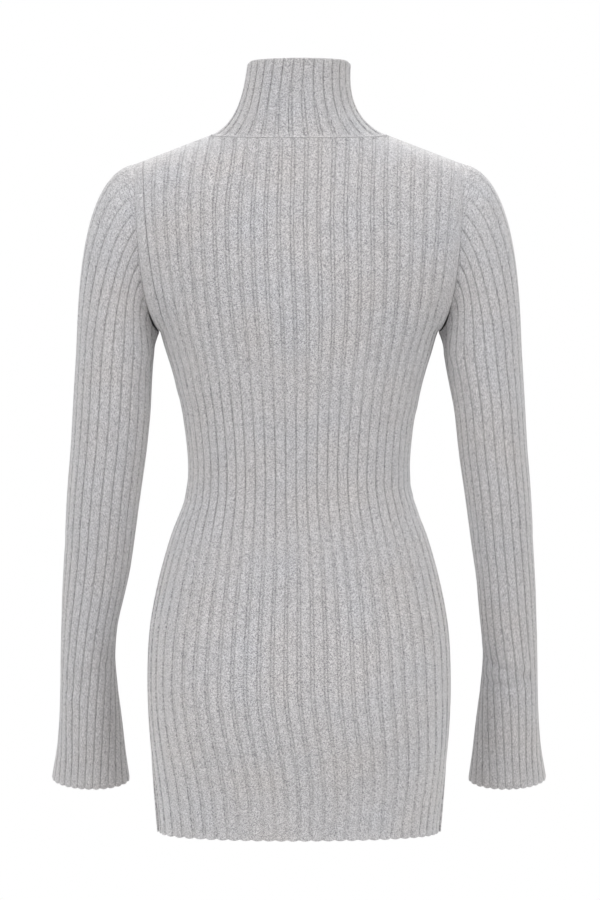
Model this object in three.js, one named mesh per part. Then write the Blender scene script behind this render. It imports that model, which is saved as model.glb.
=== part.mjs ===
import * as THREE from 'three';

// Sweater dress in wide rib knit, filled out as worn. Millimetres, +Z up, +X the wearer's left, +Y the back.
// The origin is level with the two neck points, where collar, neckline and shoulder seams meet.

// Ribs and wall
const PANEL_RIBS = 30;
const SLEEVE_RIBS = 24;
const COLLAR_RIBS = 30;
const RIB_RISE = 1.5;
const COLLAR_RIB_RISE = 1.2;
const WALL_THICKNESS = 2.8;
const COLLAR_THICKNESS = 4.0;
const CREST_START = 0.2;
const CREST_END = 0.8;
const SCALLOP = 1.4;
const SEAM_GAP = 0.3;
const ARMHOLE_GAP = 0.5;

// Body levels and the roundness of its sections
const HEM_Z = -762;
const UNDERARM_Z = -217;
const BACK_ROUNDNESS = 2.15;
const FRONT_ROUNDNESS = 2.1;

// Neck and shoulder seams
const NECK_HALF_WIDTH = 96;
const NECK_RIB = 7;
const BACK_NECK = { depth: 58, drop: 6.6, dipPower: 0.8 };
const FRONT_NECK = { depth: 66, drop: 45, dipPower: 1 };
const SHOULDER_POINT = { x: 180, z: -32 };
const BAND_START = { rib: 12, x: 170, z: -28.4 };

// Collar
const COLLAR_TOP_HALF_WIDTH = 57;
const COLLAR_TOP_BACK = { y: 51, z: 80 };
const COLLAR_TOP_FRONT = { y: -53, z: 57 };
const COLLAR_EDGE_RADIUS = 2;

// Body sections from the hem up: the half width, and the depth behind and before the side seams
const BODY_SECTIONS = [
  { z: -762, halfWidth: 157.0, backDepth: 88, frontDepth: 88 },
  { z: -710, halfWidth: 161.6, backDepth: 96, frontDepth: 92 },
  { z: -650, halfWidth: 164.8, backDepth: 102, frontDepth: 96 },
  { z: -590, halfWidth: 166.2, backDepth: 102, frontDepth: 97 },
  { z: -540, halfWidth: 164.0, backDepth: 97, frontDepth: 98 },
  { z: -490, halfWidth: 155.0, backDepth: 90, frontDepth: 96 },
  { z: -440, halfWidth: 141.0, backDepth: 85, frontDepth: 92 },
  { z: -405, halfWidth: 127.8, backDepth: 84, frontDepth: 89 },
  { z: -375, halfWidth: 122.0, backDepth: 85, frontDepth: 88 },
  { z: -325, halfWidth: 125.4, backDepth: 89, frontDepth: 95 },
  { z: -270, halfWidth: 136.5, backDepth: 93, frontDepth: 109 },
  { z: -217, halfWidth: 153.0, backDepth: 96, frontDepth: 111 },
];

// Rows between underarm level (0) and the top seams (1)
const UPPER_ROWS = [0.14, 0.32, 0.52, 0.72, 0.88, 1];

// Slopes of the panel columns: leaving the underarm level, and reaching the neckline and the shoulder seam
const RISE_LENGTH = 190;
const ARMHOLE_PULL = { fromRib: 8, power: 1.6 };
const BACK_SLOPES = {
  armholeFoot: [70, 188, 40],
  armholeTop: [0, -175, 8],
  neckPoint: [0, -270, 60],
  neckCentre: [0, -60, 200],
};
const FRONT_SLOPES = {
  armholeFoot: [20, -180, 40],
  armholeTop: [20, 170, 8],
  neckPoint: [0, 220, 60],
  neckCentre: [0, 60, 120],
};

// Sleeve rings below the cap: centre, half width across and half depth, how far the ribs spread at the back,
// and how far they turn round the sleeve.
const SLEEVE_RINGS = [
  { z: -240, centreX: 202.0, centreY: 2, halfWidth: 43.0, halfDepth: 50, spread: 0.0, twist: 0.0 },
  { z: -290, centreX: 206.8, centreY: 2, halfWidth: 41.2, halfDepth: 49, spread: 0.0, twist: 0.0 },
  { z: -345, centreX: 211.4, centreY: 0, halfWidth: 39.9, halfDepth: 47, spread: 0.02, twist: 0.0 },
  { z: -400, centreX: 217.6, centreY: -3, halfWidth: 38.2, halfDepth: 44, spread: 0.05, twist: 0.0 },
  { z: -455, centreX: 223.0, centreY: -10, halfWidth: 35.8, halfDepth: 40, spread: 0.1, twist: 0.0 },
  { z: -505, centreX: 228.8, centreY: -18, halfWidth: 33.3, halfDepth: 38, spread: 0.14, twist: 0.0 },
  { z: -545, centreX: 232.9, centreY: -26, halfWidth: 31.0, halfDepth: 36, spread: 0.18, twist: 0.04 },
  { z: -580, centreX: 234.5, centreY: -33, halfWidth: 30.5, halfDepth: 35, spread: 0.18, twist: 0.13 },
  { z: -615, centreX: 233.8, centreY: -41, halfWidth: 32.3, halfDepth: 35, spread: 0.12, twist: 0.26 },
  { z: -650, centreX: 232.8, centreY: -50, halfWidth: 35.2, halfDepth: 35, spread: 0.0, twist: 0.32 },
  { z: -684, centreX: 232.8, centreY: -59, halfWidth: 38.8, halfDepth: 35, spread: -0.12, twist: 0.33 },
  { z: -715, centreX: 233.6, centreY: -67, halfWidth: 43.6, halfDepth: 36, spread: -0.2, twist: 0.33 },
];

// Rows of the sleeve cap between the armhole (0) and the first ring (1)
const CAP_ROWS = [0, 0.1, 0.22, 0.38, 0.58, 0.8];

// Slopes of the cap columns where they leave the armhole and where they join the first ring
const CAP_SLOPES = {
  shoulder: { leave: [190, 0, -35], arrive: [8, 0, -150] },
  side: { leave: [50, 15, -60], arrive: [5, 0, -110] },
  underarm: { leave: [5, 0, -15], arrive: [0, 0, -30] },
};

// Collar rows between the neckline (0) and the start of the rounded top edge (1)
const COLLAR_ROWS = [0, 0.14, 0.32, 0.6, 1];

// Slopes of the collar columns where they leave the neckline and where they reach the top
const COLLAR_SLOPES = {
  side: { leave: [-100, 0, 45], arrive: [-3, 0, 80] },
  back: { leave: [0, -25, 70], arrive: [0, 0, 80] },
  front: { leave: [0, 18, 80], arrive: [0, 0, 90] },
};

// Direction out of the cloth at the neckline: beside the neck, and behind or before it
const NECK_EDGE = { sideways: 0.42, middle: 0.95, riseAtSide: 0.9, riseAtMiddle: 0.31 };

// Yarn colours
const BODY_COLOUR = 0xb7b6b9;
const SLEEVE_COLOUR = 0xb5b4b7;
const COLLAR_COLOUR = 0xbab9bc;

const clamp = (value, low, high) => Math.min(high, Math.max(low, value));
const mix = (a, b, share) => a + (b - a) * share;
const mixPoint = (p, q, share) => p.map((value, axis) => mix(value, q[axis], share));
const add = (p, q, scale = 1) => p.map((value, axis) => value + q[axis] * scale);
const subtract = (p, q) => add(p, q, -1);
const lengthOf = (p) => Math.hypot(...p);
const unit = (p) => p.map((value) => value / lengthOf(p));
const cross = (p, q) => [
  p[1] * q[2] - p[2] * q[1],
  p[2] * q[0] - p[0] * q[2],
  p[0] * q[1] - p[1] * q[0],
];

function smooth(value, low, high) {
  const share = clamp((value - low) / (high - low), 0, 1);
  return share * share * (3 - 2 * share);
}

// Smooth curve through table rows: each named column is read at a height or turn along the table.
function readTable(rows, key, at) {
  const distance = (value) => Math.abs(value - rows[0][key]);
  let index = 0;
  while (index < rows.length - 2 && distance(at) > distance(rows[index + 1][key])) {
    index += 1;
  }
  const slopeAt = (row, name) => {
    const before = rows[Math.max(0, row - 1)];
    const after = rows[Math.min(rows.length - 1, row + 1)];
    return (after[name] - before[name]) / (after[key] - before[key]);
  };
  const [low, high] = [rows[index], rows[index + 1]];
  const span = high[key] - low[key];
  const t = (at - low[key]) / span;
  const result = {};
  for (const name of Object.keys(low)) {
    const start = (1 + 2 * t) * (1 - t) * (1 - t) * low[name];
    const end = t * t * (3 - 2 * t) * high[name];
    const leave = t * (1 - t) * (1 - t) * span * slopeAt(index, name);
    const arrive = t * t * (t - 1) * span * slopeAt(index + 1, name);
    result[name] = start + end + leave + arrive;
  }
  return result;
}

// Curve from one point to another with a set slope at each end.
function hermite(from, leave, to, arrive, t) {
  const weights = [
    (1 + 2 * t) * (1 - t) * (1 - t),
    t * (1 - t) * (1 - t),
    t * t * (3 - 2 * t),
    t * t * (t - 1),
  ];
  return from.map((value, axis) =>
    weights[0] * value + weights[1] * leave[axis] + weights[2] * to[axis] + weights[3] * arrive[axis]);
}

// Point a given share of the way along a polyline, by length.
function alongLine(points, share) {
  const lengths = [0];
  for (let index = 1; index < points.length; index += 1) {
    lengths.push(lengths[index - 1] + lengthOf(subtract(points[index], points[index - 1])));
  }
  const target = clamp(share, 0, 1) * lengths[lengths.length - 1];
  let index = 1;
  while (index < points.length - 1 && lengths[index] < target) {
    index += 1;
  }
  const step = lengths[index] - lengths[index - 1];
  return mixPoint(points[index - 1], points[index], (target - lengths[index - 1]) / step);
}

// Quarter of a rounded section, from its side (share 0) to its middle (share 1), spaced by length.
const quarterCache = new Map();
function quarterPoint(halfWidth, depth, roundness, share) {
  const key = `${halfWidth},${depth},${roundness}`;
  if (!quarterCache.has(key)) {
    const steps = 96;
    const points = [];
    for (let step = 0; step <= steps; step += 1) {
      const angle = (Math.PI / 2) * (step / steps);
      const across = halfWidth * Math.max(0, Math.cos(angle)) ** (2 / roundness);
      const out = depth * Math.sin(angle) ** (2 / roundness);
      points.push([across, out]);
    }
    quarterCache.set(key, points);
  }
  return alongLine(quarterCache.get(key), share);
}

// Body section at one height: the side is 1 for the back panel and -1 for the front.
function sectionPoint(side, rib, z) {
  const section = readTable(BODY_SECTIONS, 'z', z);
  const depth = side > 0 ? section.backDepth : section.frontDepth;
  const roundness = side > 0 ? BACK_ROUNDNESS : FRONT_ROUNDNESS;
  const share = 1 - Math.abs(rib) / (PANEL_RIBS / 2);
  const [across, out] = quarterPoint(section.halfWidth, depth, roundness, share);
  return [across * Math.sign(rib), side * out, z];
}

// Where a rib ends at the neckline or on the shoulder seam.
function topPoint(side, rib) {
  const neck = side > 0 ? BACK_NECK : FRONT_NECK;
  const away = Math.abs(rib);
  const edge = PANEL_RIBS / 2;
  if (away <= NECK_RIB) {
    const x = NECK_HALF_WIDTH * (away / NECK_RIB);
    const round = Math.sqrt(Math.max(0, 1 - (x / NECK_HALF_WIDTH) ** 2));
    return [x * Math.sign(rib), side * neck.depth * round, -neck.drop * round ** neck.dipPower];
  }
  const band = away > BAND_START.rib;
  const low = band ? BAND_START : { rib: NECK_RIB, x: NECK_HALF_WIDTH, z: 0 };
  const high = band ? { rib: edge, ...SHOULDER_POINT } : BAND_START;
  const share = (away - low.rib) / (high.rib - low.rib);
  return [mix(low.x, high.x, share) * Math.sign(rib), 0, mix(low.z, high.z, share)];
}

// Shared direction out of the cloth along the neckline: the panels' and the collar's edges lie flat together.
function neckEdgeDirection(side, point) {
  const aside = clamp(point[0] / NECK_HALF_WIDTH, -1, 1);
  const round = Math.sqrt(1 - aside * aside);
  const rise = mix(NECK_EDGE.riseAtSide, NECK_EDGE.riseAtMiddle, round);
  return unit([NECK_EDGE.sideways * aside, side * NECK_EDGE.middle * round, rise]);
}

// Outer face of a panel: height 0 to 1 runs from hem to underarm level, 1 to 2 on to the top seams.
function panelPoint(side, rib, height) {
  const shift = [0, side * SEAM_GAP / 2, 0];
  if (height <= 1) {
    return add(sectionPoint(side, rib, mix(HEM_Z, UNDERARM_Z, height)), shift);
  }
  const slopes = side > 0 ? BACK_SLOPES : FRONT_SLOPES;
  const neck = side > 0 ? BACK_NECK : FRONT_NECK;
  const mirror = [Math.sign(rib), 1, 1];
  const away = Math.abs(rib);
  const edge = PANEL_RIBS / 2;
  const from = sectionPoint(side, rib, UNDERARM_Z);
  const below = sectionPoint(side, rib, UNDERARM_Z - 6);
  const rise = subtract(from, below).map((value) => value / 6 * RISE_LENGTH);
  const foot = slopes.armholeFoot.map((value, axis) => value * mirror[axis]);
  const pull = clamp((away - ARMHOLE_PULL.fromRib) / (edge - ARMHOLE_PULL.fromRib), 0, 1);
  const leave = mixPoint(rise, foot, pull ** ARMHOLE_PULL.power);
  const to = topPoint(side, rib);
  const aside = 1 - Math.abs(to[1]) / neck.depth;
  const ontoNeck = mixPoint(slopes.neckCentre, slopes.neckPoint, aside);
  const head = slopes.armholeTop.map((value, axis) => value * mirror[axis]);
  const arrive = mixPoint(ontoNeck, head, clamp((away - NECK_RIB) / (edge - NECK_RIB), 0, 1));
  return add(hermite(from, leave, to, arrive, height - 1), shift);
}

// Depth of a groove: the outermost ribs fade into the plain band along the armhole.
function panelRise(rib, height) {
  const band = smooth(Math.abs(rib), BAND_START.rib, BAND_START.rib + 0.8);
  return RIB_RISE * (1 - band * smooth(height, 1.02, 1.25));
}

// Direction out of a face, square to small steps along it. Facing is -1 where the steps turn the other way.
function faceDirection(face, column, height, limits, facing) {
  const step = 0.03;
  const back = clamp(column - step, ...limits.columns);
  const ahead = clamp(column + step, ...limits.columns);
  const lower = clamp(height - step / 4, ...limits.heights);
  const upper = clamp(height + step / 4, ...limits.heights);
  const across = subtract(face(ahead, height), face(back, height));
  const up = subtract(face(column, upper), face(column, lower));
  return unit(cross(across, up)).map((value) => value * facing);
}

// Column positions: a groove and the two edges of a crest for every rib, and one inner column for each rib.
function outerColumns(first, last, closed) {
  const columns = [];
  for (let rib = first; rib < last; rib += 1) {
    columns.push(rib, rib + CREST_START, rib + CREST_END);
  }
  return closed ? columns : [...columns, last];
}

const isGroove = (column) => Math.abs(column - Math.round(column)) < 0.01;

// Closed cloth wall from two grids of rows: outer and inner points, joined round every edge.
function wallGeometry(outer, inner, outerAt, innerAt, closed, period) {
  const points = [];
  const faces = [];
  const place = (grid) => grid.map((row) => row.map((point) => points.push(point) - 1));
  const outerIndex = place(outer);
  const innerIndex = place(inner);
  const quads = (grid, flip) => {
    for (let row = 0; row < grid.length - 1; row += 1) {
      const count = grid[row].length;
      for (let column = 0; column < (closed ? count : count - 1); column += 1) {
        const next = (column + 1) % count;
        const [a, b] = [grid[row][column], grid[row][next]];
        const [c, d] = [grid[row + 1][next], grid[row + 1][column]];
        faces.push(flip ? [a, c, b] : [a, b, c], flip ? [a, d, c] : [a, c, d]);
      }
    }
  };
  quads(outerIndex, false);
  quads(innerIndex, true);
  const rim = (outerRow, innerRow, flip) => {
    const outerEnd = closed ? outerRow.length : outerRow.length - 1;
    const innerEnd = closed ? innerRow.length : innerRow.length - 1;
    const position = (list, index) => (index < list.length ? list[index] : list[0] + period);
    let o = 0;
    let i = 0;
    while (o < outerEnd || i < innerEnd) {
      const nextOuter = o < outerEnd ? position(outerAt, o + 1) : Infinity;
      const nextInner = i < innerEnd ? position(innerAt, i + 1) : Infinity;
      const nearOuter = outerRow[o % outerRow.length];
      const nearInner = innerRow[i % innerRow.length];
      const moveOuter = nextOuter < nextInner - 0.001;
      const far = moveOuter ? outerRow[(o + 1) % outerRow.length] : innerRow[(i + 1) % innerRow.length];
      faces.push(flip ? [nearOuter, far, nearInner] : [nearOuter, nearInner, far]);
      o += moveOuter ? 1 : 0;
      i += moveOuter ? 0 : 1;
    }
  };
  rim(outerIndex[0], innerIndex[0], false);
  rim(outerIndex[outerIndex.length - 1], innerIndex[innerIndex.length - 1], true);
  if (!closed) {
    const edge = (column, flip) => {
      for (let row = 0; row < innerIndex.length - 1; row += 1) {
        const [a, b] = [outerIndex[row].at(column), innerIndex[row].at(column)];
        const [c, d] = [innerIndex[row + 1].at(column), outerIndex[row + 1].at(column)];
        faces.push(flip ? [a, c, b] : [a, b, c], flip ? [a, d, c] : [a, c, d]);
      }
    };
    edge(0, true);
    edge(-1, false);
  }
  return { points, faces };
}

// Puts the faces the right way out and hangs the wall on a named mesh with its own material.
function clothMesh(name, wall, colour) {
  let volume = 0;
  for (const [a, b, c] of wall.faces) {
    const [p, q, r] = [wall.points[a], wall.points[b], wall.points[c]];
    const turn = cross(q, r);
    volume += (p[0] * turn[0] + p[1] * turn[1] + p[2] * turn[2]) / 6;
  }
  const faces = volume > 0 ? wall.faces : wall.faces.map(([a, b, c]) => [a, c, b]);
  const geometry = new THREE.BufferGeometry();
  geometry.setAttribute('position', new THREE.Float32BufferAttribute(wall.points.flat(), 3));
  geometry.setIndex(faces.flat());
  geometry.computeVertexNormals();
  const material = new THREE.MeshStandardMaterial({ color: colour, roughness: 0.95, metalness: 0 });
  material.name = `${name} rib knit`;
  const mesh = new THREE.Mesh(geometry, material);
  mesh.name = name;
  return mesh;
}

// Rows of a panel, as heights from 0 at the hem to 2 at the top seams.
function panelHeights() {
  const lower = BODY_SECTIONS.map((section) => (section.z - HEM_Z) / (UNDERARM_Z - HEM_Z));
  return [...lower, ...UPPER_ROWS.map((row) => 1 + row)];
}

// Front or back panel, one piece from hem to shoulder.
function buildPanel(side) {
  const edge = PANEL_RIBS / 2;
  const heights = panelHeights();
  const outerAt = outerColumns(-edge, edge, false);
  const nearNeck = (column) => Math.abs(column) > NECK_RIB - 2 && Math.abs(column) < NECK_RIB;
  const innerAt = outerAt.filter((column) => isGroove(column) || nearNeck(column));
  const limits = { columns: [-edge, edge], heights: [0, 2] };
  const face = (column, height) => panelPoint(side, column, height);
  const place = (column, height, inner) => {
    const onSide = Math.abs(column) === edge && height <= 1;
    const onShoulder = Math.abs(column) >= NECK_RIB && height === 2;
    const out = faceDirection(face, column, height, limits, -side);
    const onNeck = Math.abs(column) <= NECK_RIB && height === 2;
    const flat = onSide || onShoulder ? unit([out[0], 0, out[2]]) : out;
    const square = onNeck ? neckEdgeDirection(side, face(column, height)) : flat;
    const groove = isGroove(column) ? 1 : 0;
    const depth = inner ? WALL_THICKNESS : groove * panelRise(column, height);
    const placed = add(face(column, height), square, -depth);
    if (height === 0 && !inner) {
      placed[2] += groove ? SCALLOP : -SCALLOP;
    }
    return placed;
  };
  const outer = heights.map((height) => outerAt.map((column) => place(column, height, false)));
  const inner = heights.map((height) => innerAt.map((column) => place(column, height, true)));
  return wallGeometry(outer, inner, outerAt, innerAt, false, 0);
}

// The armhole as the panels' edges leave it: over the shoulder point, down the back and up the front.
function armholeLoop() {
  const rows = [0, ...UPPER_ROWS];
  const edge = PANEL_RIBS / 2;
  const back = [...rows].reverse().map((row) => panelPoint(1, edge, 1 + row));
  const front = rows.map((row) => panelPoint(-1, edge, 1 + row));
  return [...back, ...front];
}

// Ring of a sleeve, square to its axis. A turn of 0 is the outer side, 0.25 the back, 0.5 the underarm.
function ringPoint(turn, z) {
  const ring = readTable(SLEEVE_RINGS, 'z', z);
  const above = readTable(SLEEVE_RINGS, 'z', Math.min(z + 8, SLEEVE_RINGS[0].z));
  const below = readTable(SLEEVE_RINGS, 'z', Math.max(z - 8, SLEEVE_RINGS.at(-1).z));
  const upright = smooth(z, SLEEVE_RINGS[1].z, SLEEVE_RINGS[0].z);
  const bend = (name) => (above[name] - below[name]) / (above.z - below.z) * (1 - upright);
  const axis = unit([bend('centreX'), bend('centreY'), 1]);
  const ahead = unit(cross(axis, [1, 0, 0]));
  const across = unit(cross(ahead, axis));
  const angle = 2 * Math.PI * turn;
  const moved = turn - (ring.spread * Math.cos(angle) + ring.twist) / (2 * Math.PI);
  const whole = moved - Math.floor(moved);
  const quarter = Math.floor(whole * 4) % 4;
  const within = whole * 4 - Math.floor(whole * 4);
  const share = quarter % 2 === 0 ? within : 1 - within;
  const [outX, outY] = quarterPoint(ring.halfWidth, ring.halfDepth, 2, share);
  const x = quarter === 0 || quarter === 3 ? outX : -outX;
  const y = quarter < 2 ? outY : -outY;
  const centre = [ring.centreX, ring.centreY, ring.z];
  return add(add(centre, across, x), ahead, y);
}

// Outer face of a sleeve: height 0 to 1 is the cap, 1 to 2 runs from its foot to the cuff.
function sleevePoint(loop, turn, height) {
  const whole = turn - Math.floor(turn);
  const first = SLEEVE_RINGS[0].z;
  if (height >= 1) {
    return ringPoint(whole, mix(first, SLEEVE_RINGS.at(-1).z, height - 1));
  }
  const angle = 2 * Math.PI * whole;
  const end = Math.cos(angle) > 0 ? CAP_SLOPES.shoulder : CAP_SLOPES.underarm;
  const sideShare = Math.sin(angle) ** 2;
  const blend = (name) => CAP_SLOPES.side[name].map((value, axis) =>
    mix(end[name][axis], axis === 1 ? value * Math.sign(Math.sin(angle)) : value, sideShare));
  const leave = blend('leave');
  const arrive = blend('arrive');
  const from = add(alongLine(loop, whole), unit(leave), ARMHOLE_GAP);
  return hermite(from, leave, ringPoint(whole, first), arrive, height);
}

function buildSleeve(mirror) {
  const loop = armholeLoop();
  const span = SLEEVE_RINGS[0].z - SLEEVE_RINGS.at(-1).z;
  const ringHeights = SLEEVE_RINGS.map((ring) => 1 + (SLEEVE_RINGS[0].z - ring.z) / span);
  const heights = [...CAP_ROWS, ...ringHeights];
  const outerAt = outerColumns(0, SLEEVE_RIBS, true);
  const innerAt = outerAt.filter(isGroove);
  const limits = { columns: [-1, SLEEVE_RIBS + 1], heights: [0, 2] };
  const face = (column, height) => sleevePoint(loop, column / SLEEVE_RIBS, height);
  const place = (column, height, inner) => {
    const out = faceDirection(face, column, height, limits, -1);
    const groove = isGroove(column) ? 1 : 0;
    const placed = add(face(column, height), out, inner ? -WALL_THICKNESS : -groove * RIB_RISE);
    if (height === 2 && !inner) {
      placed[2] += groove ? SCALLOP : -SCALLOP;
    }
    return [placed[0] * mirror, placed[1], placed[2]];
  };
  const outer = heights.map((height) => outerAt.map((column) => place(column, height, false)));
  const inner = heights.map((height) => innerAt.map((column) => place(column, height, true)));
  return wallGeometry(outer, inner, outerAt, innerAt, true, SLEEVE_RIBS);
}

// The neckline as the panels' top edges leave it, from the left neck point round the back and the front.
function necklineHalf(side) {
  const columns = outerColumns(-NECK_RIB, NECK_RIB, false);
  const points = columns.map((column) => panelPoint(side, column, 2));
  return side > 0 ? points.reverse() : points;
}

// Outer face of the collar: height 0 at the neckline, 1 where the rounded top edge begins.
function collarPoint(halves, turn, height) {
  const whole = turn - Math.floor(turn);
  const back = whole < 0.5;
  const share = back ? whole * 2 : whole * 2 - 1;
  const angle = 2 * Math.PI * whole;
  const aside = Math.cos(angle);
  const round = Math.abs(Math.sin(angle));
  const foot = alongLine(back ? halves[0] : halves[1], share);
  const top = back ? COLLAR_TOP_BACK : COLLAR_TOP_FRONT;
  const quarter = share < 0.5 ? share * 2 : 2 - share * 2;
  const [outX, outY] = quarterPoint(COLLAR_TOP_HALF_WIDTH, Math.abs(top.y), 2, quarter);
  const dip = smooth(quarter, 0, 1) * (COLLAR_TOP_BACK.z - top.z);
  const x = outX * (back === share < 0.5 ? 1 : -1);
  const head = [x, outY * Math.sign(top.y), COLLAR_TOP_BACK.z - dip - COLLAR_EDGE_RADIUS];
  const atSide = COLLAR_SLOPES.side;
  const atMiddle = back ? COLLAR_SLOPES.back : COLLAR_SLOPES.front;
  const inward = atSide.leave[0] * aside * Math.abs(aside);
  const leave = [inward, atMiddle.leave[1] * round, mix(atSide.leave[2], atMiddle.leave[2], round)];
  const arrive = [atSide.arrive[0] * aside, 0, mix(atSide.arrive[2], atMiddle.arrive[2], round)];
  const from = add(foot, unit(leave), SEAM_GAP);
  return hermite(from, leave, head, arrive, height);
}

function buildCollar() {
  const halves = [necklineHalf(1), necklineHalf(-1)];
  const outerAt = outerColumns(0, COLLAR_RIBS, true);
  const innerAt = outerAt.filter(isGroove);
  const limits = { columns: [-1, COLLAR_RIBS + 1], heights: [0, 1] };
  const face = (column, height) => collarPoint(halves, column / COLLAR_RIBS, height);
  const place = (column, height, depth, lift) => {
    const point = face(column, height);
    const side = column < COLLAR_RIBS / 2 ? 1 : -1;
    const out = faceDirection(face, column, height, limits, 1);
    const placed = add(point, height === 0 ? neckEdgeDirection(side, point) : out, -depth);
    return [placed[0], placed[1], placed[2] + lift];
  };
  const groove = (column) => (isGroove(column) ? COLLAR_RIB_RISE : 0);
  const outerRow = (height) => outerAt.map((column) => place(column, height, groove(column), 0));
  const innerRow = (height) => innerAt.map((column) => place(column, height, COLLAR_THICKNESS, 0));
  const outer = COLLAR_ROWS.map(outerRow);
  const half = COLLAR_THICKNESS / 2;
  const shoulder = (column) => (groove(column) + half) * 0.4;
  outer.push(outerAt.map((column) => place(column, 1, shoulder(column), COLLAR_EDGE_RADIUS * 0.75)));
  outer.push(outerAt.map((column) => place(column, 1, half, COLLAR_EDGE_RADIUS)));
  const inner = COLLAR_ROWS.map(innerRow);
  return wallGeometry(outer, inner, outerAt, innerAt, true, COLLAR_RIBS);
}

const dress = new THREE.Group();
dress.name = 'sweater_dress';
dress.add(clothMesh('back', buildPanel(1), BODY_COLOUR));
dress.add(clothMesh('front', buildPanel(-1), BODY_COLOUR));
dress.add(clothMesh('sleeve_left', buildSleeve(1), SLEEVE_COLOUR));
dress.add(clothMesh('sleeve_right', buildSleeve(-1), SLEEVE_COLOUR));
dress.add(clothMesh('collar', buildCollar(), COLLAR_COLOUR));

export default dress;
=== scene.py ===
# %% [markdown]
# # A ribbed sweater dress
# The real dress is five knitted pieces, a back, a front, two sleeves and a collar, linked along their
# edges. The frame holds each one as a plain hollow wall with coarse ribs. Each wall is made again here
# from the same sizes, with finer ribs, rolled edges and creases, and then the cloth gets its stitches and
# its yarn colour.

# %% Load the frame
import bpy
import numpy as np
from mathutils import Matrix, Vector


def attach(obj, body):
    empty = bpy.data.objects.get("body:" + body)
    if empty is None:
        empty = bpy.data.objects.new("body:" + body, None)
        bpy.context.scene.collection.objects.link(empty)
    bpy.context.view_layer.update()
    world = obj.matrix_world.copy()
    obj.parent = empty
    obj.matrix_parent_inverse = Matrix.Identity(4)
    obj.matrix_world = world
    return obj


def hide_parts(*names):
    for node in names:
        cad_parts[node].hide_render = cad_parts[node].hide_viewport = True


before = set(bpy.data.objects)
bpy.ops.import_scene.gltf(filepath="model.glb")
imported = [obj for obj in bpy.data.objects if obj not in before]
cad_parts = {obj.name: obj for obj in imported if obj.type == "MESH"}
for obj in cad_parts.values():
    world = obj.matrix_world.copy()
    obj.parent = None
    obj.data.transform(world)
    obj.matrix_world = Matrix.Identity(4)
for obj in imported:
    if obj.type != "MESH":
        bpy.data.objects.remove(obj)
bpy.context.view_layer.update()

MM = 0.001

# %% [markdown]
# Each surface is a grid of points in millimetres: rows run across the ribs and columns run along them. A
# spline object could carry the same shape, but a grid gives every stitch an exact place, so ribs and seams
# line up. These helpers are the few curves that all five pieces share.

# %% Curves that every piece uses
def smooth(value, low, high):
    """0 below low, 1 above high, and an S between: three times t squared less two times t cubed."""
    t = np.clip((value - low) / (high - low), 0, 1)
    return t * t * (3 - 2 * t)


def between(start, end, share):
    """The point a share of the way from start to end: start plus share times the difference."""
    return start + (end - start) * share


def unit(vectors):
    """Each vector divided by its own length."""
    return vectors / np.linalg.norm(vectors, axis=-1, keepdims=True)


def table(names, rows):
    """A short table as named columns, in order of its first one."""
    columns = np.array(sorted(rows), float).T
    return dict(zip(names.split(), columns))


def hermite(start, leave, end, arrive, t):
    """Cubic from start to end that leaves and arrives with the given slopes."""
    come = t * t * (3 - 2 * t)
    return start * (1 - come) + end * come + t * (1 - t) * (leave * (1 - t) - arrive * t)


def read(rows, name, at):
    """Smooth curve through one column: between two rows a cubic, with each row's slope taken across its
    neighbours."""
    z, value = rows["z"], rows[name]
    ahead, behind = np.r_[1:len(z), len(z) - 1], np.r_[0, 0:len(z) - 1]
    slope = (value[ahead] - value[behind]) / (z[ahead] - z[behind])
    low = np.clip(np.searchsorted(z, at, side="right") - 1, 0, len(z) - 2)
    span = z[low + 1] - z[low]
    leave, arrive = slope[low] * span, slope[low + 1] * span
    return hermite(value[low], leave, value[low + 1], arrive, (at - z[low]) / span)


print("halfway up the S:", smooth(0.5, 0, 1))

# %% Shares of a curve by length
QUARTER_SAMPLES = 97


def quarter(half_width, depth, roundness, share):
    """Quarter of a rounded section, from its side (0) to its middle (1), even by length. Across is half
    the width times cosine to the power 2 / roundness, and out is the depth times sine to that power."""
    angle = np.linspace(0, np.pi / 2, QUARTER_SAMPLES)
    across = half_width[..., None] * np.maximum(np.cos(angle), 0) ** (2 / roundness)
    out = depth[..., None] * np.sin(angle) ** (2 / roundness)
    steps = np.hypot(np.diff(across), np.diff(out))
    length = np.concatenate([np.zeros_like(steps[..., :1]), np.cumsum(steps, -1)], -1)
    target = share[..., None] * length[..., -1:]
    high = np.clip((length < target).sum(-1), 1, QUARTER_SAMPLES - 1)[..., None]

    def pick(values, index):
        """The value at an index along the quarter."""
        values = np.broadcast_to(values, high.shape[:-1] + (QUARTER_SAMPLES,))
        return np.take_along_axis(values, index, -1)

    t = (target - pick(length, high - 1)) / (pick(length, high) - pick(length, high - 1))
    return tuple(between(pick(c, high - 1), pick(c, high), t)[..., 0] for c in (across, out))


def along(line, share):
    """Point a share of the way along a line of points, by length."""
    length = np.r_[0, np.cumsum(np.linalg.norm(np.diff(line, axis=0), axis=1))]
    return np.stack([np.interp(share * length[-1], length, line[:, axis]) for axis in range(3)], -1)


def outward(points, closed, facing):
    """Direction out of a grid: the slope along a row crossed with the slope up a column."""
    if closed:
        across = np.roll(points, -1, 1) - np.roll(points, 1, 1)
    else:
        across = np.gradient(points, axis=1)
    return unit(np.cross(across, np.gradient(points, axis=0))) * facing


print("points on a quarter:", QUARTER_SAMPLES)

# %% [markdown]
# The back and the front are each one panel, 30 ribs wide, from the hem to the shoulder. Below the arms a
# panel is half of a rounded section whose width and depth come from a table of heights. Above them every
# rib runs up a smooth curve to the neckline or the shoulder seam, so the armhole is simply where the last
# rib goes.

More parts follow.
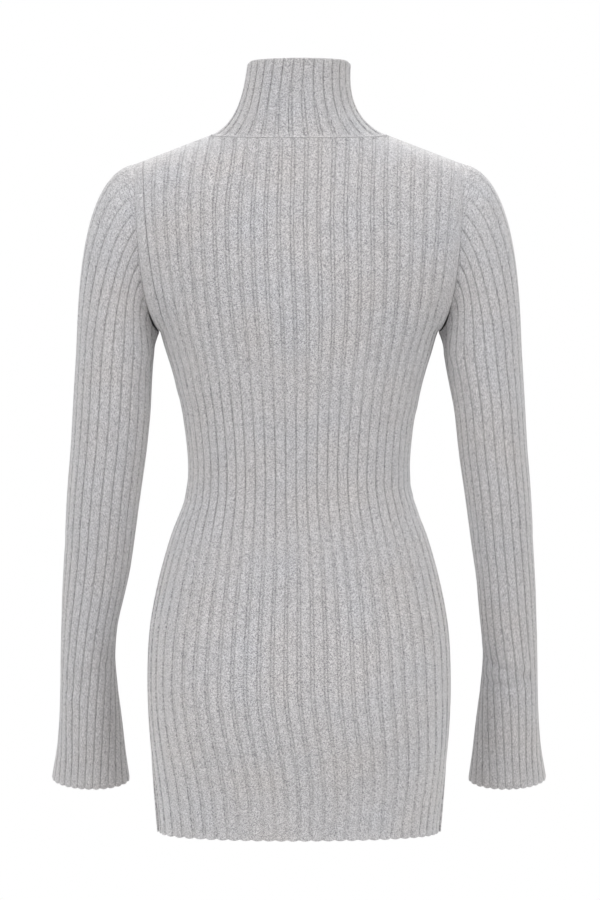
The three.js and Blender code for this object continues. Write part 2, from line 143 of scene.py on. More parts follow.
# %% Sizes of the body, in millimetres
PANEL_RIBS, SLEEVE_RIBS, COLLAR_RIBS = 30, 24, 30
HEM, UNDERARM = -767.0, -217.0
BACK, FRONT = 1, -1
EDGE_RIB = PANEL_RIBS / 2
BODY = table("z half_width back_depth front_depth", [
    (-767, 157.0, 88, 88), (-710, 161.6, 96, 92), (-650, 164.8, 102, 96), (-590, 166.2, 102, 97),
    (-540, 164.0, 97, 98), (-490, 155.0, 90, 96), (-440, 141.0, 85, 92), (-405, 127.8, 84, 89),
    (-375, 122.0, 85, 88), (-325, 125.4, 89, 95), (-270, 136.5, 93, 109), (-217, 153.0, 96, 111),
])
ROUNDNESS = {BACK: 2.15, FRONT: 2.1}
NECK_HALF_WIDTH, NECK_RIB = 96.0, 7.0
NECK = {BACK: dict(depth=58, drop=6.6, dip=0.8), FRONT: dict(depth=66, drop=45, dip=1)}
SHOULDER_RIBS, SHOULDER_X, SHOULDER_Z = (7, 12, 15), (96, 170, 180), (0, -28.4, -32)
RISE_LENGTH, RISE_STEP = 190, 6
PULL_FROM_RIB, PULL_POWER = 8, 1.6
SLOPES = {
    BACK: dict(
        foot=(70, 188, 40), shoulder=(0, -175, 8), neck_point=(0, -270, 60), neck_middle=(0, -60, 200),
    ),
    FRONT: dict(
        foot=(20, -180, 40), shoulder=(20, 170, 8), neck_point=(0, 220, 60), neck_middle=(0, 60, 120),
    ),
}
print("hem to underarm:", UNDERARM - HEM, "mm")


# %% The face of a panel
def section(side, rib, z):
    """Half a rounded section at each height: the rib's share of the way round gives its place on the
    quarter."""
    depth = read(BODY, "back_depth" if side == BACK else "front_depth", z)[:, None]
    half_width = read(BODY, "half_width", z)[:, None]
    share = 1 - np.abs(rib) / EDGE_RIB
    across, out = quarter(half_width, depth, ROUNDNESS[side], share[None])
    return np.stack([across * np.sign(rib), side * out, np.broadcast_to(z[:, None], out.shape)], -1)


def top_edge(side, rib):
    """Where each rib ends: on the neck's half ellipse, or on the shoulder seam, straight in two parts."""
    away, neck = np.abs(rib), NECK[side]
    rounded = np.sqrt(np.maximum(0, 1 - (away / NECK_RIB) ** 2))
    on_neck = away <= NECK_RIB
    shoulder_x = np.interp(away, SHOULDER_RIBS, SHOULDER_X)
    shoulder_z = np.interp(away, SHOULDER_RIBS, SHOULDER_Z)
    x = np.where(on_neck, NECK_HALF_WIDTH * away / NECK_RIB, shoulder_x)
    y = np.where(on_neck, side * neck["depth"] * rounded, 0)
    z = np.where(on_neck, -neck["drop"] * rounded ** neck["dip"], shoulder_z)
    return np.stack([x * np.sign(rib), y, z], -1)


def panel(side, rib, height):
    """Height 0 to 1 is the section from hem to underarm. Height 1 to 2 is a cubic from there to the top
    edge, and the ribs near the edge are pulled over to the arm."""
    slopes = {name: np.array(value, float) for name, value in SLOPES[side].items()}
    mirror = np.stack([np.sign(rib), np.ones_like(rib), np.ones_like(rib)], -1)
    away = np.abs(rib)[:, None]
    lower = section(side, rib, between(HEM, UNDERARM, np.minimum(height, 1)))
    below, foot = section(side, rib, np.array([UNDERARM - RISE_STEP, UNDERARM]))
    pull = np.clip((away - PULL_FROM_RIB) / (EDGE_RIB - PULL_FROM_RIB), 0, 1) ** PULL_POWER
    leave = between((foot - below) / RISE_STEP * RISE_LENGTH, slopes["foot"] * mirror, pull)
    top = top_edge(side, rib)
    aside = 1 - np.abs(top[:, 1:2]) / NECK[side]["depth"]
    onto_neck = between(slopes["neck_middle"], slopes["neck_point"], aside)
    beyond_neck = np.clip((away - NECK_RIB) / (EDGE_RIB - NECK_RIB), 0, 1)
    arrive = between(onto_neck, slopes["shoulder"] * mirror, beyond_neck)
    upper = hermite(foot, leave, top, arrive, np.maximum(height - 1, 0)[:, None, None])
    return np.where((height <= 1)[:, None, None], lower, upper)


print("shoulder seam ends at", top_edge(BACK, np.array([EDGE_RIB]))[0], "mm")

# %% [markdown]
# A set-in sleeve starts at the armhole, so its first ring is the line that the panels' edge ribs leave.
# The cap is a cubic from there to a ring of the upper arm, and below it the rings follow a table: the
# wrist is the narrowest place and the cuff flares out of it. The ribs are spread and turned a little, as
# they are on a bent, worn sleeve.

# %% Sizes of the sleeve, in millimetres
SLEEVE = table("z centre_x centre_y half_width half_depth spread twist", [
    (-240, 202.0, 2, 43.0, 50, 0, 0), (-290, 206.8, 2, 41.2, 49, 0, 0),
    (-345, 211.4, 0, 39.9, 47, 0.02, 0), (-400, 217.6, -3, 38.2, 44, 0.05, 0),
    (-455, 223.0, -10, 35.8, 40, 0.1, 0), (-505, 228.8, -18, 33.3, 38, 0.14, 0),
    (-545, 232.9, -26, 31.0, 36, 0.18, 0.04), (-580, 234.5, -33, 30.5, 35, 0.18, 0.13),
    (-615, 233.8, -41, 32.3, 35, 0.12, 0.26), (-650, 232.8, -50, 35.2, 35, 0, 0.32),
    (-684, 232.8, -59, 38.8, 35, -0.12, 0.33), (-715, 233.6, -67, 43.6, 36, -0.2, 0.33),
])
CUFF, ARM = SLEEVE["z"][0], SLEEVE["z"][-1]
UPRIGHT_BELOW, BEND_STEP = -290, 8
LIE_FADES_IN, LIE_FADES_OUT = (-545, -470), (-310, -240)
CAP_LEAVE = dict(shoulder=(190, 0, -35), side=(50, 15, -60), underarm=(5, 0, -15))
CAP_ARRIVE = dict(shoulder=(8, 0, -150), side=(5, 0, -110), underarm=(0, 0, -30))
CAP_LENGTH = 110
print("armhole to cuff about", ARM - CUFF + CAP_LENGTH, "mm")


# %% The face of a sleeve
def ring(turn, z, lie):
    """Ellipse square to the arm's line. A turn of 0 is the outer side, 0.25 the back and 0.5 the underarm.
    Lie moves the inner edge alone, so it adds to the half width what it takes from the centre."""
    z = z[:, None]
    row = {name: read(SLEEVE, name, z) for name in SLEEVE}
    lean = lie * smooth(z, *LIE_FADES_IN) * (1 - smooth(z, *LIE_FADES_OUT))
    steady = smooth(z, UPRIGHT_BELOW, ARM)
    up, down = np.minimum(z + BEND_STEP, ARM), np.maximum(z - BEND_STEP, CUFF)
    bend = [(read(SLEEVE, name, up) - read(SLEEVE, name, down)) / (up - down) * (1 - steady)
            for name in ("centre_x", "centre_y")]
    axis = unit(np.stack([*bend, np.ones_like(z)], -1))
    ahead = unit(np.cross(axis, (1, 0, 0)))
    aside = unit(np.cross(ahead, axis))
    moved = turn - (row["spread"] * np.cos(2 * np.pi * turn) + row["twist"]) / (2 * np.pi)
    moved = (moved - np.floor(moved)) * 4
    part = np.floor(moved).astype(int) % 4
    share = np.where(part % 2 == 0, moved - np.floor(moved), 1 - moved + np.floor(moved))
    across, out = quarter(row["half_width"] + lean, row["half_depth"], 2, share)
    x = np.where((part == 0) | (part == 3), across, -across)[..., None]
    y = np.where(part < 2, out, -out)[..., None]
    centre = np.stack([row["centre_x"] - lean, row["centre_y"], z], -1)
    return centre + aside * x + ahead * y


def armhole():
    """The edge ribs of both panels as one line: over the shoulder, down the back and up the front."""
    height = np.linspace(1, 2, 60)
    back = panel(BACK, np.array([EDGE_RIB]), height[::-1])[:, 0]
    front = panel(FRONT, np.array([EDGE_RIB]), height)[:, 0]
    return np.concatenate([back, front])


def sleeve(turn, height, lie):
    """Height 0 to 1 is the cap, a cubic from the armhole to the upper arm. Height 1 to 2 is the rings
    below it."""
    angle = 2 * np.pi * turn[:, None]
    on_top = np.cos(angle) > 0
    flip = np.concatenate([np.ones_like(angle), np.sign(np.sin(angle)), np.ones_like(angle)], 1)

    def blend(slopes):
        """Slope round the ring: from the ends to the side by the square of the sine."""
        ends = np.where(on_top, slopes["shoulder"], slopes["underarm"])
        return between(ends, np.array(slopes["side"]) * flip, np.sin(angle) ** 2)

    start = along(armhole(), turn)
    first = ring(turn, np.array([ARM]), lie)[0]
    up_to_arm = np.minimum(height, 1)[:, None, None]
    cap = hermite(start, blend(CAP_LEAVE), first, blend(CAP_ARRIVE), up_to_arm)
    tube = ring(turn, between(ARM, CUFF, np.maximum(height - 1, 0)), lie)
    return np.where((height < 1)[:, None, None], cap, tube)


print("armhole round:", round(np.linalg.norm(np.diff(armhole(), axis=0), axis=1).sum()), "mm")

# %% [markdown]
# The tall collar is a funnel that is linked on round the neckline and knitted double, so its top edge is a
# soft fold. It leaves the shoulders nearly flat, turns up and narrows to the neck, so it is again one
# cubic per rib. Its top corners droop a little and it leans to one side, as soft knit does.

# %% The face of the collar
COLLAR_TOP_HALF_WIDTH, COLLAR_TOP_Z, COLLAR_EDGE_RADIUS = 57.0, 80.0, 2.0
COLLAR_CORNER_DROP, COLLAR_CORNER_SHARE, COLLAR_LEAN = 3.0, 0.3, 2.5
COLLAR_TOP = {BACK: (51.0, 80.0), FRONT: (-53.0, 57.0)}
COLLAR_LEAVE = dict(side=(-100, 0, 45), back=(0, -25, 70), front=(0, 18, 80))
COLLAR_ARRIVE = dict(side=(-3, 0, 80), back=(0, 0, 80), front=(0, 0, 90))


def neckline(side):
    """The neck edge of a panel, from the left neck point to the right one behind, and back in front."""
    line = panel(side, np.linspace(-NECK_RIB, NECK_RIB, 141), np.array([2.0]))[0]
    return line[::-1] if side == BACK else line


def collar(turn, height):
    """A cubic from the neckline to the ellipse of the top edge, whose front is lower than its back, plus
    a lean to one side that is the sine of half a turn up the collar."""
    behind = turn < 0.5
    share = np.where(behind, turn * 2, turn * 2 - 1)
    angle = 2 * np.pi * turn
    aside, rounded = np.cos(angle), np.abs(np.sin(angle))
    foot = np.where(behind[:, None], along(neckline(BACK), share), along(neckline(FRONT), share))
    top_y, top_z = (np.where(behind, COLLAR_TOP[BACK][i], COLLAR_TOP[FRONT][i]) for i in (0, 1))
    part = np.where(share < 0.5, share * 2, 2 - share * 2)
    across, out = quarter(np.full_like(part, COLLAR_TOP_HALF_WIDTH), np.abs(top_y), 2, part)
    corner = COLLAR_CORNER_DROP * (1 - smooth(part, 0, COLLAR_CORNER_SHARE))
    top_z = COLLAR_TOP_Z - smooth(part, 0, 1) * (COLLAR_TOP_Z - top_z) - COLLAR_EDGE_RADIUS - corner
    across = across * np.where(behind == (share < 0.5), 1, -1)
    head = np.stack([across, out * np.sign(top_y), top_z], -1)

    def blend(slopes):
        """Slope round the collar: across by the cosine, out and up by the sine."""
        middle = np.where(behind[:, None], slopes["back"], slopes["front"])
        up = between(slopes["side"][2], middle[:, 2], rounded)
        return np.stack([slopes["side"][0] * aside, middle[:, 1] * rounded, up], -1)

    leave = blend(COLLAR_LEAVE) * np.stack([np.abs(aside), np.ones_like(aside), np.ones_like(aside)], -1)
    points = hermite(foot, leave, head, blend(COLLAR_ARRIVE), height[:, None, None])
    return points + np.sin(np.pi * height)[:, None, None] * np.array([COLLAR_LEAN, 0, 0])


print("back neckline:", round(np.linalg.norm(np.diff(neckline(BACK), axis=0), axis=1).sum()), "mm")

# %% [markdown]
# A wide rib is five knit wales that stand up and one purl wale that sinks between them. Where the knit is
# slack, as at the waist, the groove closes to a narrow V. Where the body stretches it, the groove opens to
# a flat floor with two fine edges. The columns of the grid crowd together at each groove, because that is
# where the surface turns.

# %% Ribs and edges
RIB_DEPTH, COLLAR_RIB_DEPTH, CREST_DOME = 1.3, 1.2, 0.3
WALL, COLLAR_WALL, INNER_RELIEF, EDGE_BULGE = 2.8, 4.0, 0.6, 1.3
SCALLOP, SCALLOP_REACH = 0.7, 16
EDGE_RELIEF, EDGE_REACH = 0.55, 9
WALES_PER_RIB, WALE, COURSE = 6, 2.4, 1.75
RIB_STEPS = np.array([0, 0.075, 0.125, 0.175, 0.26, 0.42, 0.58, 0.74, 0.825, 0.875, 0.925])
SLACK_RIB, STRETCHED_RIB = 11.5, 13.6
V_REACH, FLOOR_EDGE, FLOOR_REACH = 0.15, 0.12, 0.185
FLOOR_DEPTH, FLOOR_MIDDLE, CREST_REACH = 0.7, 0.03, 0.36
# These three size and place the lines of painted groove shadow, in ribs.
V_LINE, TWIN_LINES, TWIN_WIDTH = 0.12, 0.125, 0.06


def rib_columns(first, last):
    """Column positions, counted in ribs: the same uneven steps within every rib."""
    return (np.arange(first, last)[:, None] + RIB_STEPS).ravel()


def stretch(points, rib):
    """0 where a rib is as narrow as slack knit and 1 where it is pulled wide, from the column spacing."""
    width = np.linalg.norm(np.diff(points, axis=1), axis=2) / np.diff(rib)
    return smooth(np.concatenate([width, width[:, -1:]], 1), SLACK_RIB, STRETCHED_RIB)


def from_groove(rib):
    """Distance to the nearest groove, in ribs: 0 in its middle and 0.5 on top of the crest."""
    return np.abs(rib - np.round(rib))


def groove(rib, wide):
    """Depth of the groove from 0 to 1: an S down to a V, or, where the knit is pulled wide, down to a flat
    floor whose edges are its deepest part."""
    away = from_groove(rib)
    floor = between(FLOOR_DEPTH, 1, smooth(away, FLOOR_MIDDLE, FLOOR_EDGE))
    narrow = 1 - smooth(away, 0, V_REACH)
    return between(narrow, (1 - smooth(away, FLOOR_EDGE, FLOOR_REACH)) * floor, wide)


def painted_groove_shadow(rib, wide):
    """Painted shadow in the grooves: one line in the middle of a V, or two lines at the edges of a floor.
    """
    away = from_groove(rib)
    one = np.maximum(1 - away / V_LINE, 0)
    return between(one, np.maximum(1 - np.abs(away - TWIN_LINES) / TWIN_WIDTH, 0), wide)


def dome(rib):
    """0 in the middle of a crest and 1 at its edges, by the square of the distance."""
    return np.minimum(((from_groove(rib) - 0.5) / CREST_REACH) ** 2, 1)


def near_edge(above):
    """Share of the rib's depth that is left above a free edge: it grows to 1 over a short reach."""
    return between(EDGE_RELIEF, 1, smooth(above, 0, EDGE_REACH))


def scallop(rib):
    """Lift of a free edge, from minus 1 on a crest to 1 at a groove: 1 less twice the sine of half a turn
    a rib."""
    return SCALLOP * (1 - 2 * np.abs(np.sin(np.pi * rib)))


def crowd(low, high, count, at_low, at_high):
    """Rows from low to high whose spacing shrinks towards an end, by a cosine's worth of the even one."""
    t = np.linspace(0, np.pi, count)
    one_end, both_ends = (at_high - at_low) / 2 * np.sin(t), (at_low + at_high) / 4 * np.sin(2 * t)
    return between(low, high, (t + one_end - both_ends) / np.pi)


def rolled(start, end, beyond, bulge, steps=3):
    """Half-round edge from start over to end: their middle, plus cosine of half the gap, plus sine of the
    bulge."""
    angle = np.pi * np.arange(1, steps + 1)[:, None, None] / (steps + 1)
    return (start + end) / 2 + (start - end) / 2 * np.cos(angle) + beyond * bulge * np.sin(angle)


print("columns in a panel:", len(rib_columns(0, PANEL_RIBS)) + 1)

# %% [markdown]
# Both faces of the cloth and its edges become one closed skin: up the outside, over the top edge, down the
# inside and round the bottom edge. Solidify would do this too, but it can't give the inside a plainer rib.
# The UV map counts wales and courses, so the material can draw one stitch for each whole number.

# %% From grids to a mesh
SHARP_ANGLE = 55


def as_object(name, points, faces, corner_uv, values):
    """Mesh object in metres, with the face corners' UV and one number per vertex in each attribute."""
    mesh = bpy.data.meshes.new(name)
    mesh.from_pydata((points * MM).tolist(), [], faces)
    mesh.uv_layers.new(name="knit").data.foreach_set("uv", corner_uv.astype(np.float32).ravel())
    for label, value in values.items():
        attribute = mesh.attributes.new(label, "FLOAT", "POINT")
        attribute.data.foreach_set("value", value.astype(np.float32).ravel())
    mesh.shade_smooth()
    mesh.set_sharp_from_angle(angle=np.radians(SHARP_ANGLE))
    piece = bpy.data.objects.new(name, mesh)
    bpy.context.collection.objects.link(piece)
    return piece


def grid_quads(rows, count, across):
    """Four corner numbers for each cell of a grid whose rows close up, and the row and column of each."""
    r, c = np.arange(rows)[:, None], np.arange(across)[None]
    after, beside = (r + 1) % rows, (c + 1) % count
    corners = [r * count + c, r * count + beside, after * count + beside, after * count + c]
    return np.stack(corners, -1).reshape(-1, 4), r, c, after, beside


def count_wales(rib, closed):
    """Wales across a piece at each column. A closed piece has its first column once more at the end."""
    return (np.r_[rib, np.round(rib[-1])] if closed else rib) * WALES_PER_RIB + 0.5


def side_faces(outside, over_top, rows, count):
    """Faces that close the two open ends of a skin: a strip between the walls, and the rolled edge."""
    low, high = np.arange(outside - 1), np.arange(1, outside)
    last = 2 * outside + over_top - 1
    loops = np.stack([low, high, last - high, last - low], -1).tolist()
    if rows > last + 1:
        loops.append([last, *range(last + 1, rows), 0])
    return [[row * count + column for row in loop][::turn] for column, turn in ((0, 1), (count - 1, -1))
            for loop in loops]


def knit_wall(name, outer, inner, top, bottom, wales, closed, shade):
    """Closed skin from the outer grid, the inner grid and the rows of the two rolled edges. Courses are
    the length up the face over the height of a course. If the skin's volume is negative, it is turned."""
    loop = np.concatenate([outer, top, inner[::-1], bottom])
    rows, count = loop.shape[:2]
    quads, r, c, after, beside = grid_quads(rows, count, count if closed else count - 1)
    length = np.cumsum(np.linalg.norm(np.diff(outer, axis=0, prepend=outer[:1]), axis=2), 0) / COURSE
    over_top = length[-1:] + 0.5 * np.arange(1, len(top) + 1)[:, None]
    round_bottom = -0.5 * np.arange(1, len(bottom) + 1)[:, None] + 0 * length[:1]
    courses = np.concatenate([length, over_top, length[::-1], round_bottom])
    wales = np.broadcast_to(wales, (len(outer), wales.shape[-1]))
    ends = np.repeat(wales[-1:], len(top), 0), np.repeat(wales[:1], len(bottom), 0)
    wales = np.concatenate([wales, ends[0], wales[::-1], ends[1]])
    u = np.stack([wales[r, c], wales[r, c + 1], wales[after, c + 1], wales[after, c]], -1)
    v = np.stack([courses[r, c], courses[r, beside], courses[after, beside], courses[after, c]], -1)
    uv = np.stack([u, v], -1).reshape(-1, 2)
    faces = quads.tolist()
    if not closed:
        added = side_faces(len(outer), len(top), rows, count)
        edge = [index for face in added for index in face]
        uv = np.concatenate([uv, np.stack([wales.ravel()[edge], courses.ravel()[edge]], -1)])
        faces = faces + added
    one, two, three, four = (loop.reshape(-1, 3)[quads[:, corner]] for corner in range(4))
    volume = (one * np.cross(two, three)).sum() + (one * np.cross(three, four)).sum()
    if volume < 0:
        sizes = np.array([len(face) for face in faces])
        starts = np.r_[0, np.cumsum(sizes)[:-1]]
        order = np.concatenate([np.arange(s + n - 1, s - 1, -1) for s, n in zip(starts, sizes)])
        faces, uv = [face[::-1] for face in faces], uv[order]
    print(name, "triangles:", 2 * len(quads), "wall in cm3:", round(abs(volume) / 6000))
    # The groove attribute carries the painted groove shadow to the material.
    return as_object(name, loop.reshape(-1, 3), faces, uv, {"groove": shade})


# %% [markdown]
# Worn knit isn't smooth between its seams. Each crease is a soft trough with a low ridge beside it, placed
# at a spot on the cloth, with its own length, slant, width and depth. They are pressed into the
# face before the ribs are raised, so the ribs run through them. The front isn't in the photo, so its
# creases are made like those of the back.

# %% Creases
def pressed(points, out, across, creases, girth=None):
    """Moves the face by each crease: minus a bell curve across it, plus a lower bell beside it, fading at
    its ends. Where a girth is given, the distance across is taken the short way round."""
    move = np.zeros(points.shape[:2])
    for place, z, length, slant, width, depth in creases:
        turn = np.radians(slant)
        x, y = across - place, points[..., 2] - z
        if girth is not None:
            x = x - girth * np.round(x / girth)
        run, off = x * np.cos(turn) + y * np.sin(turn), y * np.cos(turn) - x * np.sin(turn)
        fold = -np.exp(-(off / width) ** 2) + 0.5 * np.exp(-((off - 1.8 * width) / width) ** 2)
        move += depth * fold * np.exp(-(run / (length / 2)) ** 4)
    return points + out * move[..., None]


# Each crease is its place across, height, length, slant in degrees, width and depth, in millimetres.
PANEL_CREASES = {
    BACK: [
        (148, -196, 40, 62, 5, 1.5), (136, -226, 62, 40, 8, 1.0), (122, -300, 70, 12, 10, 0.7),
        (-150, -194, 44, -58, 5, 1.6), (-134, -232, 54, -34, 8, 1.1), (-118, -318, 58, -16, 9, 0.8),
        (112, -402, 76, -10, 9, 0.8), (-108, -388, 64, 12, 8, 0.9), (-116, -424, 48, 6, 7, 0.6),
        (0, -750, 320, 2, 70, 8.0),
    ],
    FRONT: [
        (146, -198, 46, 58, 5, 1.4), (132, -232, 58, 36, 8, 1.1), (-148, -196, 38, -60, 5, 1.5),
        (-130, -238, 66, -32, 9, 1.0), (104, -392, 70, -12, 9, 0.9), (-100, -406, 82, 9, 8, 0.8),
        (-64, -330, 60, 20, 10, 0.5), (30, -430, 90, -4, 10, 0.5), (60, -690, 120, 60, 12, 0.8),
    ],
}
# On a sleeve the place across is counted round it from the middle of its back.
SLEEVE_CREASES = {
    "left": [
        (10, -590, 56, 24, 5, 1.6), (-6, -612, 44, -14, 5, 1.3), (22, -570, 38, 36, 5, 1.2),
        (0, -636, 40, 12, 6, 0.8), (96, -588, 52, 12, 6, 1.0), (118, -606, 38, -18, 5, 0.8),
        (98, -436, 66, 8, 9, 1.4), (110, -462, 52, -14, 8, 1.1), (86, -408, 44, 20, 8, 0.8),
        (44, -262, 52, 50, 7, 1.0), (140, -268, 46, -46, 7, 1.0), (-30, -452, 48, -10, 9, 0.5),
    ],
    "right": [
        (12, -588, 62, 26, 5, 2.4), (16, -606, 54, 12, 4.5, 2.1), (-4, -600, 38, -30, 5, 1.3),
        (24, -570, 36, 42, 5, 1.4), (6, -626, 44, -8, 5, 1.2), (100, -596, 48, -10, 6, 1.0),
        (120, -580, 42, 16, 5, 0.8), (94, -442, 60, -10, 9, 1.3), (112, -418, 54, 12, 8, 1.1),
        (90, -470, 46, 18, 8, 0.9), (42, -258, 56, 54, 7, 1.1), (136, -272, 50, -42, 7, 0.9),
        (-26, -438, 52, 12, 9, 0.5),
    ],
}
print("creases:", sum(len(rows) for rows in (*PANEL_CREASES.values(), *SLEEVE_CREASES.values())))

# %% [markdown]
# At a linked seam the two edges turn inwards together, so the ribs fade out there, both faces point the
# same way and each dips a little. Under the arm a deeper fold forms where sleeve and body press together.

# %% Seams
SEAM_ROLL, SEAM_SINK, EDGE_RIB_WIDTH = 4.5, 0.2, 13
FOLD_SINK, FOLD_ROLL = 1.4, 8.0
# WALL_SHADE is the share of the painted groove shadow that the inner face, the hem and the cuffs get.
SHOULDER_CALM, WALL_SHADE = 0.6, 0.5


def neck_direction(side, points):
    """Shared direction out of the cloth along the neckline, so that panel and collar lie flat together."""
    aside = np.clip(points[..., 0] / NECK_HALF_WIDTH, -1, 1)
    rounded = np.sqrt(1 - aside * aside)
    return unit(np.stack([0.42 * aside, side * 0.95 * rounded, between(0.9, 0.31, rounded)], -1))


def seam_directions(side, points, out, rib, height):
    """Turns the outward directions near a seam square to it: flat on the side and shoulder seams, shared
    at the neck."""
    flat = unit(out * (1, 0, 1))
    away = np.abs(rib)[None, :, None]
    height = height[:, None, None]
    at_side = smooth(away, EDGE_RIB - 0.6, EDGE_RIB) * (1 - smooth(height, 1, 1.05))
    at_top = smooth(height, 1.97, 2)
    on_neck = 1 - smooth(away, NECK_RIB - 0.02, NECK_RIB + 0.02)
    out = unit(between(out, flat, np.maximum(at_side, at_top * (1 - on_neck))))
    return unit(between(out, neck_direction(side, points), at_top * on_neck))


def two_faces(face, out, rib, ribs, calm, at_seam, above_edge):
    """The outer face sinks by the groove, the dome and a little along a seam. The inner one lies a wall
    below it with a plainer rib, and both are scalloped at the free edge."""
    sunk = RIB_DEPTH * ribs + CREST_DOME * dome(rib)[None] * calm
    outer = face - out * (sunk + SEAM_SINK * at_seam)[..., None]
    inner = face - out * (WALL - INNER_RELIEF * (1 - ribs))[..., None]
    lift = scallop(rib)[None] * (1 - smooth(above_edge, 0, SCALLOP_REACH))
    outer[..., 2] += lift
    inner[..., 2] += lift
    return outer, inner


# %% [markdown]
# A panel is knitted flat and only the linking gives it a form, so its ribs needn't stand where a drawing
# would put them. On the worn back they slide to one side over the lower skirt and to the other above the
# waist. Along the armhole the ribs end in a plain band, where the knitter takes stitches away.

# %% Build the body panels
SKIRT_DRIFT, SKIRT_REACH = -1.0, (-725, -595)
CHEST_DRIFT, WAIST_REACH, CHEST_REACH, DRIFT_LEAN = 0.55, (-480, -380), (-240, -90), 0.6
NECK_SLIP, TOP_HEIGHTS = 0.8, (1.55, 1.98)
BAND_FROM_RIB, BAND_FADE = 12, 0.8
# Low in the skirt's middle the painted groove shadow is fainter: by this share, fading between these
# heights above the hem and these ribs.
SKIRT_SHADE_FADE, SKIRT_SHADE_FADE_HEIGHTS, SKIRT_SHADE_FADE_RIBS = 0.6, (60, 150), (4, 11)
HEIGHTS = np.r_[crowd(0, 1, 84, 0.7, 0)[:-1], crowd(1, 2, 52, 0, 0.75)]


def drifted(points, rib):
    """Slides the ribs of the back within its own face. A new column lies between its two nearest old ones,
    and the side edges and the two neck points stay where they are."""
    z, side = points[:, len(rib) // 2, 2][:, None], rib[None] / EDGE_RIB
    skirt = (1 - smooth(z, *SKIRT_REACH)) * (1 - side ** 4)
    held = 1 - NECK_SLIP * np.cos(np.pi * rib / 2 / NECK_RIB) ** 2
    held = held * smooth(HEIGHTS[:, None], *TOP_HEIGHTS)
    chest = (smooth(z, *WAIST_REACH) + smooth(z, *CHEST_REACH)) * (1 - held)
    aside = CHEST_DRIFT / 2 * chest * (1 - side ** 2) * (1 + DRIFT_LEAN * side)
    moved = rib + SKIRT_DRIFT * skirt + aside
    right = np.clip(np.searchsorted(rib, moved), 1, len(rib) - 1)
    share = (moved - rib[right - 1]) / (rib[right] - rib[right - 1])
    row = np.arange(len(points))[:, None]
    return between(points[row, right - 1], points[row, right], share[..., None])


def band_wales(points, rib, band):
    """Wales across a panel. In the plain band they are counted by its true width, as wales end there."""
    wales = count_wales(rib, False)
    width = np.cumsum(np.linalg.norm(np.diff(points, axis=1, prepend=points[:, :1]), axis=2), 1) / WALE
    left, right = np.searchsorted(rib, (-BAND_FROM_RIB, BAND_FROM_RIB))
    start = np.where(rib > 0, right, left)
    return between(wales[None], wales[start] + width - width[:, start], band)


def build_panel(name, side):
    """Face, drift, creases, ribs and edges in that order. The ribs are multiplied by a calm that is 0 in
    the plain band and at a seam. Heights from 1 to 2 run from the underarm to the top edge."""
    rib = np.r_[rib_columns(-PANEL_RIBS // 2, PANEL_RIBS // 2), EDGE_RIB]
    away, height = np.abs(rib)[None], HEIGHTS[:, None]
    face = panel(side, rib, HEIGHTS)
    face = drifted(face, rib) if side == BACK else face
    out = outward(face, False, -side)
    face = pressed(face, out, face[..., 0], PANEL_CREASES[side])
    out = seam_directions(side, face, outward(face, False, -side), rib, HEIGHTS)
    wide = stretch(face, rib)
    band = smooth(away, BAND_FROM_RIB, BAND_FROM_RIB + BAND_FADE) * smooth(height, 1.02, 1.25)
    on_shoulder = smooth(height, 1.7, 2) * smooth(away, NECK_RIB, NECK_RIB + 2)
    from_side = (EDGE_RIB - away) * EDGE_RIB_WIDTH
    at_armhole = (1 - smooth(from_side, 0, SEAM_ROLL)) * smooth(height, 1, 1.03)
    at_seam = np.maximum(1 - smooth((2 - height) * RISE_LENGTH, 0, SEAM_ROLL), at_armhole)
    under_arm = smooth(height, 1, 1.06) * (1 - smooth(height, 1.06, 1.24))
    fold = (1 - smooth(from_side, 0, FOLD_ROLL)) * under_arm
    calm = (1 - band) * (1 - SHOULDER_CALM * on_shoulder) * (1 - at_seam)
    above_hem = face[..., 2] - HEM
    ribs = groove(rib[None], wide) * calm * near_edge(above_hem)
    face = face - out * (FOLD_SINK * fold)[..., None]
    outer, inner = two_faces(face, out, rib, ribs, calm, at_seam, above_hem)
    bottom = rolled(inner[0], outer[0], unit(face[0] - face[1])[None], EDGE_BULGE)
    # Painted groove shadow, fainter low in the skirt's middle and weaker on the inner face and hem.
    skirt_shade_fade = (1 - smooth(above_hem, *SKIRT_SHADE_FADE_HEIGHTS)) * (1 - smooth(away, *SKIRT_SHADE_FADE_RIBS))
    line = painted_groove_shadow(rib[None], wide) * calm * (1 - SKIRT_SHADE_FADE * skirt_shade_fade)
    hidden = [line[::-1], np.repeat(line[:1], len(bottom), 0)]
    shade = np.concatenate([line, *(WALL_SHADE * part for part in hidden)])
    return knit_wall(name, outer, inner, outer[:0], bottom, band_wales(face, rib, band), False, shade)


back = build_panel("rib_knit_back", BACK)
front = build_panel("rib_knit_front", FRONT)

# %% [markdown]
# Both sleeves are knitted alike and are mirror images. Worn, they differ: the arms don't lie the same way,
# and each wrist has its own creases, which the right one shows more strongly.

# %% Build the sleeves
SLEEVE_LIE = {"left": 2.0, "right": -2.0}
SLACK_SHADOW = 1.05
UNDERARM_TURN, FOLD_TURNS = 0.5, (0.04, 0.11)
SLEEVE_HEIGHTS = np.r_[crowd(0, 1, 48, 0.75, 0)[:-1], crowd(1, 2, 118, 0, 0.6)]


